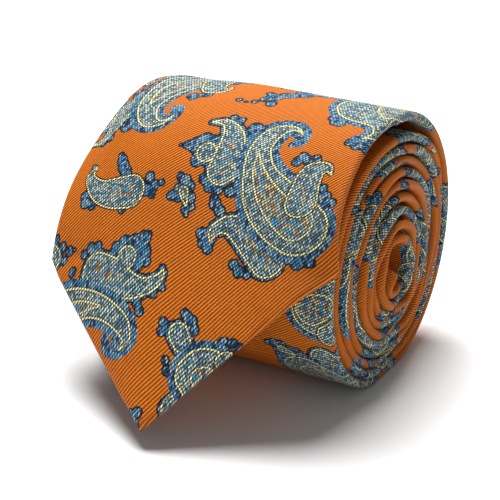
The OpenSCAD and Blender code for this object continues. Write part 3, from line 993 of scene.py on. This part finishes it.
def stitch_mesh(name, places, length, thick, slant):
    """Short raised stitches on the back of the free end, each a small spindle of thread."""
    t = np.linspace(-1, 1, 9)
    ring = np.radians(np.arange(0, 360, 45))
    tt, rr = np.meshgrid(t, ring, indexing="ij")
    thin = np.sqrt(np.clip(1 - tt**4, 0.02, 1))
    verts, faces = [], []
    for u, x, lean in places:
        along = tt * length / 2
        side = np.cos(rr) * thin * thick / 2
        rise = np.sin(rr) * thin * thick / 2
        c = math.cos(math.radians(lean + slant))
        s = math.sin(math.radians(lean + slant))
        pu = u + (along * c - side * s) / MIDDLE_LENGTH
        px = x + along * s + side * c
        verts.append(free_point(pu, px, -HALF_THICK - 0.02 + rise).reshape(-1, 3))
        index = (len(verts) - 1) * tt.size + np.arange(tt.size).reshape(tt.shape)
        nxt = np.roll(index, -1, axis=1)
        faces += np.stack([index[:-1], nxt[:-1], nxt[1:], index[1:]], -1).reshape(-1, 4).tolist()
        faces += [index[0][::-1].tolist(), index[-1].tolist()]
    mesh = bpy.data.meshes.new(name)
    mesh.from_pydata((np.concatenate(verts) * MM).tolist(), [], faces)
    for polygon in mesh.polygons:
        polygon.use_smooth = True
    obj = bpy.data.objects.new(name, mesh)
    bpy.context.scene.collection.objects.link(obj)
    return obj


def hem_stitches():
    """Hand stitches that hold the turned hem down on the lining, on both sides of the point."""
    places = []
    for u in HEM_STITCHES:
        inner = float(free_inner(np.array(u)))
        for side in (-1, 1):
            places.append((u, side * inner, side * (POINT_LEAN if u > SHOULDER_AT else HEM_LEAN)))
    obj = stitch_mesh("tipping_hand_stitches", places, STITCH_LENGTH, STITCH_THICK, STITCH_SLANT)
    dress(obj, THREAD)
    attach(obj, "free_end")
    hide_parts("tipping_stitches")
    return obj


def back_strip(name, node, rings, half, thick):
    """A strip sewn on the back of the first turn, between two of the CAD model's rings."""
    s = np.linspace(rings[0], rings[1], 14) / RINGS_PER_TURN
    obj = slab(name, NONE, s, NONE, np.full(s.shape, half), BACK_HEIGHT - thick, BACK_HEIGHT, 40)
    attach(obj, "roll")
    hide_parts(node)
    return obj


wool_u = np.linspace(0, 0.95, 48)[1:]
end_core = wool("wide_end_interlining_wool", wool_u, spaced_turns(CREST, FIRST_START, 1.0))
front_core = wool("front_interlining_wool", NONE, spaced_turns(FIRST_START, WOOL_JOIN, 2.0))
tail_core = wool("tail_interlining_wool", NONE, spaced_turns(WOOL_JOIN + WOOL_JOIN_GAP, WOOL_END, 1.6), 14)

lining_u = np.linspace(0.02, 0.93, 90)
lining_half = np.maximum(0.8, np.minimum(free_inner(lining_u) + 4, free_half(lining_u) - 2))
wide_lining = lining("wide_end_lining", lining_u, lining_half, free_point, flip=True)
lining_s = spaced_turns(*TAIL_LINING, 0.6)
tail_half = blade_width(lining_s) / 2 - 2
narrow_lining = lining("narrow_end_lining", lining_s, tail_half, roll_point, flip=False)

for piece, node in ((wide_end, "wide_end_shell"), (end_core, "wide_end_interlining"),
                    (wide_lining, "wide_end_tipping")):
    across_hinge(piece)
    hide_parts(node)
for piece, node in ((first_turn, "wide_blade_shell"), (inner_wide, "wide_blade_inner_shell"),
                    (neck, "neck_shell"), (narrow, "narrow_blade_shell"), (front_core, "front_interlining"),
                    (tail_core, "tail_interlining"), (narrow_lining, "narrow_tipping")):
    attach(piece, "roll")
    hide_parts(node)

hem_thread = hem_stitches()
keeper = back_strip("keeper_loop_strip", "keeper_loop", LOOP_RINGS, LOOP_HALF, LOOP_THICK)
dress(keeper, SILK)
add_print(keeper, *[np.full(len(keeper.data.vertices), place) for place in LOOP_PATCH])
label = back_strip("woven_blank_label", "blank_label", LABEL_RINGS, LABEL_HALF, LABEL_THICK)
dress(label, LABEL)
care_tape = back_strip("care_tape", "care_tag", TAG_RINGS, TAG_HALF, TAG_THICK)
dress(care_tape, TAG)

THREAD_NODES = ["keeper_loop_tacks", "wide_bar_tack", "narrow_bar_tack", "slip_stitches",
                "front_neck_seam", "rear_neck_seam", "interlining_join"]
for name in THREAD_NODES:
    dress(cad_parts[name], THREAD)


# ---------------------------------------------------------------- floor, light and camera
WORLD_STRENGTH = 0.17
KEY_LIGHT = {"place_at": (-0.19, 0.2, 0.87), "aim": (0, -0.02, 0.03), "size": 0.6, "power": 15.8}
FILL_LIGHT = {"place_at": (0.55, -0.75, 0.6), "aim": (0, 0, 0.03), "size": 0.8, "power": 0.5}
CAMERA_ANGLES = (30, 23)
CAMERA_DISTANCE = 0.42
CAMERA_AIM = (SHIFT_X * MM, (AXIS_Y - 4.3) * MM, 0.035)
FOCAL_LENGTH = 117.0
SENSOR_WIDTH = 36.0
LENS_SHIFT = (0.009, -0.054)


def make_floor():
    bpy.ops.mesh.primitive_plane_add(size=4.0, location=(0, 0, 0))
    floor = bpy.context.object
    floor.name = "floor"
    floor.data.materials.append(matte_floor())


def area_light(name, place_at, aim, size, power):
    data = bpy.data.lights.new(name, "AREA")
    data.shape = "DISK"
    data.size = size
    data.energy = power
    obj = bpy.data.objects.new(name, data)
    obj.location = place_at
    obj.rotation_euler = (Vector(aim) - Vector(place_at)).to_track_quat("-Z", "Y").to_euler()
    bpy.context.scene.collection.objects.link(obj)


def make_world():
    world = bpy.data.worlds.new("studio")
    world.use_nodes = True
    world.node_tree.nodes["Background"].inputs["Color"].default_value = (1, 1, 1, 1)
    world.node_tree.nodes["Background"].inputs["Strength"].default_value = WORLD_STRENGTH
    bpy.context.scene.world = world


def make_camera():
    """Above and to the right of the point, looking down along the roll's right end."""
    data = bpy.data.cameras.new("camera")
    data.lens = FOCAL_LENGTH
    data.sensor_width = SENSOR_WIDTH
    data.clip_start = 0.01
    camera = bpy.data.objects.new("camera", data)
    azimuth, elevation = np.radians(CAMERA_ANGLES)
    back = Vector((math.sin(azimuth) * math.cos(elevation), -math.cos(azimuth) * math.cos(elevation),
                   math.sin(elevation)))
    camera.location = Vector(CAMERA_AIM) + CAMERA_DISTANCE * back
    camera.rotation_euler = (-back).to_track_quat("-Z", "Y").to_euler()
    data.shift_x, data.shift_y = LENS_SHIFT
    bpy.context.scene.collection.objects.link(camera)
    bpy.context.scene.camera = camera


make_floor()
make_world()
area_light("key", **KEY_LIGHT)
area_light("fill", **FILL_LIGHT)
make_camera()
bpy.context.scene.view_settings.view_transform = "Standard"
